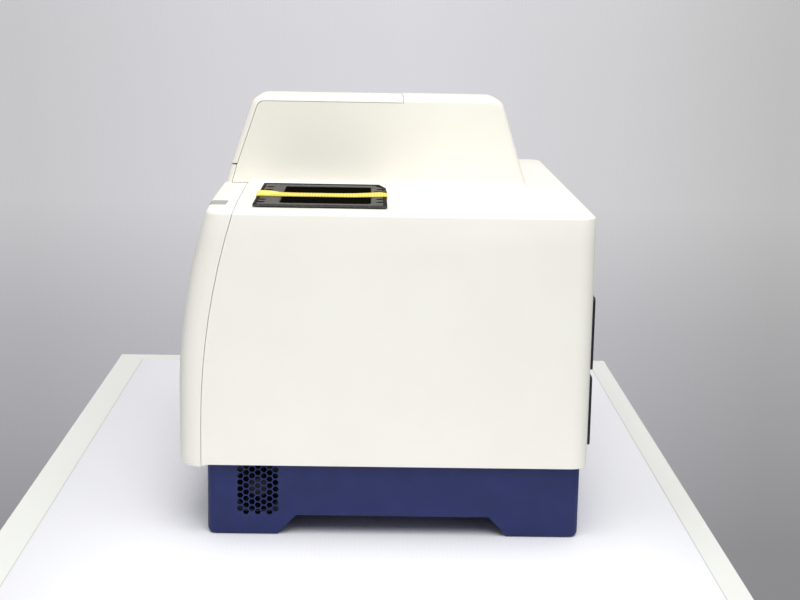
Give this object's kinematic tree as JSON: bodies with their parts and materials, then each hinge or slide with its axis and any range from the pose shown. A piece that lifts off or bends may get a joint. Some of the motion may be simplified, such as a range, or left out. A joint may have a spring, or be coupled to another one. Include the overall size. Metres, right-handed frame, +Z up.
{
  "type": "cell imaging system",
  "caption": "bench-top instrument for imaging live cells: white housing on a blue base pan, hood with a lift-up L-shaped lid over a motorised stage, objectives, light cubes and a camera",
  "frame": {"origin": "on the table under the middle of the instrument's footprint", "axes": "+X to the instrument's right-hand side, the side without the hood; +Y to its rear; +Z up"},
  "size_m": [0.457, 0.3357, 0.3444],
  "materials": {
    "housing_white": "smooth moulded off-white, soft sheen",
    "status_grey": "translucent grey, satin",
    "base_blue": "fine textured deep blue paint",
    "rubber": "matte black",
    "dark_plastic": "matte dark grey",
    "dark_panel": "satin near-black navy",
    "dark_anodised": "dark anodised, satin",
    "aluminium": "machined and bead-blasted",
    "steel": "ground and plated",
    "board": "green solder mask",
    "clear_glass": "polished, coated",
    "yellow_band": "woven elastic"
  },
  "bodies": {
    "housing": {"base_pan": "base_blue", "camera_module": "dark_plastic", "condenser_lens": "clear_glass", "control_board": "board", "cube_rail": "aluminium", "data_ports": "steel", "electronics_tray": "aluminium", "fan_frame": "dark_plastic", "focus_column": "aluminium", "focus_motor": "dark_plastic", "fold_mirror_block": "aluminium", "foot_front_left": "rubber", "foot_front_right": "rubber", "foot_rear_left": "rubber", "foot_rear_right": "rubber", "front_panel": "housing_white", "hinge_guide_left": "dark_plastic", "hinge_guide_right": "dark_plastic", "illuminator_arm": "dark_plastic", "lid_gasket": "rubber", "main_cover": "housing_white", "optics_plate": "aluminium", "power_inlet": "dark_plastic", "power_supply": "steel", "rear_lower_panel": "dark_panel", "rear_upper_panel": "dark_panel", "stage_base": "aluminium", "stage_column_left": "aluminium", "stage_column_right": "aluminium", "stage_deck": "dark_plastic", "status_lens": "status_grey", "switch_bezel": "dark_plastic", "tube_lens": "dark_plastic", "y_motor": "dark_plastic", "y_rail_left": "steel", "y_rail_right": "steel"},
    "lid": {"lid": "housing_white", "hinge_arm_left": "steel", "hinge_arm_right": "steel"},
    "y_stage": {"y_carriage": "dark_anodised", "x_rail_front": "steel", "x_rail_rear": "steel", "x_motor": "dark_plastic"},
    "x_stage": {"x_carriage": "dark_anodised"},
    "y_drive": {"y_screw": "steel"},
    "x_drive": {"x_screw": "steel"},
    "focus": {"focus_carriage": "dark_anodised"},
    "turret": {"turret": "dark_anodised", "objective_1": "steel", "objective_2": "steel", "objective_3": "steel", "objective_4": "steel"},
    "cube_slider": {"cube_carriage": "dark_anodised", "light_cube_1": "dark_plastic", "light_cube_2": "dark_plastic", "light_cube_3": "dark_plastic"},
    "fan": {"fan_rotor": "dark_plastic"},
    "rocker": {"power_rocker": "dark_plastic"},
    "holder": {"vessel_holder": "dark_anodised", "holder_band": "yellow_band"}
  },
  "joints": [
    {"name": "lid_hinge", "type": "hinge", "parent": "housing", "child": "lid", "pos_m": [-0.0525, 0.0125, 0.344], "axis": [-1, 0, 0], "range_deg": [0, 70]},
    {"name": "y_slide", "type": "slide", "parent": "housing", "child": "y_stage", "axis": [0, 1, 0], "range_m": [-0.036, 0.036]},
    {"name": "x_slide", "type": "slide", "parent": "y_stage", "child": "x_stage", "axis": [1, 0, 0], "range_m": [-0.038, 0.038]},
    {"name": "y_screw_spin", "type": "hinge", "parent": "housing", "child": "y_drive", "pos_m": [-0.17, 0, 0.2294], "axis": [0, 1, 0], "range_deg": [-1300, 1300]},
    {"name": "x_screw_spin", "type": "hinge", "parent": "y_stage", "child": "x_drive", "pos_m": [0, -0.075, 0.2439], "axis": [1, 0, 0], "range_deg": [-1372, 1372]},
    {"name": "focus_slide", "type": "slide", "parent": "housing", "child": "focus", "axis": [0, 0, 1], "range_m": [-0.005, 0.005]},
    {"name": "turret_spin", "type": "hinge", "parent": "focus", "child": "turret", "pos_m": [-0.082, 0.014, 0.165], "axis": [0, 0, 1], "continuous": true},
    {"name": "cube_slide", "type": "slide", "parent": "housing", "child": "cube_slider", "axis": [1, 0, 0], "range_m": [-0.036, 0.036]},
    {"name": "fan_spin", "type": "hinge", "parent": "housing", "child": "fan", "pos_m": [0.21, -0.1042, 0.0383], "axis": [1, 0, 0], "continuous": true},
    {"name": "power_rocker_tip", "type": "hinge", "parent": "housing", "child": "rocker", "pos_m": [0.128, 0.1602, 0.102], "axis": [-1, 0, 0], "range_deg": [0, 18]},
    {"name": "holder_lift", "type": "slide", "parent": "housing", "child": "holder", "axis": [0, 0, 1], "range_m": [0, 0.1]}
  ],
  "couplings": [
    {"joint": "y_screw_spin", "follows": "y_slide", "rad_per_m": 628.32},
    {"joint": "x_screw_spin", "follows": "x_slide", "rad_per_m": 628.32}
  ]
}
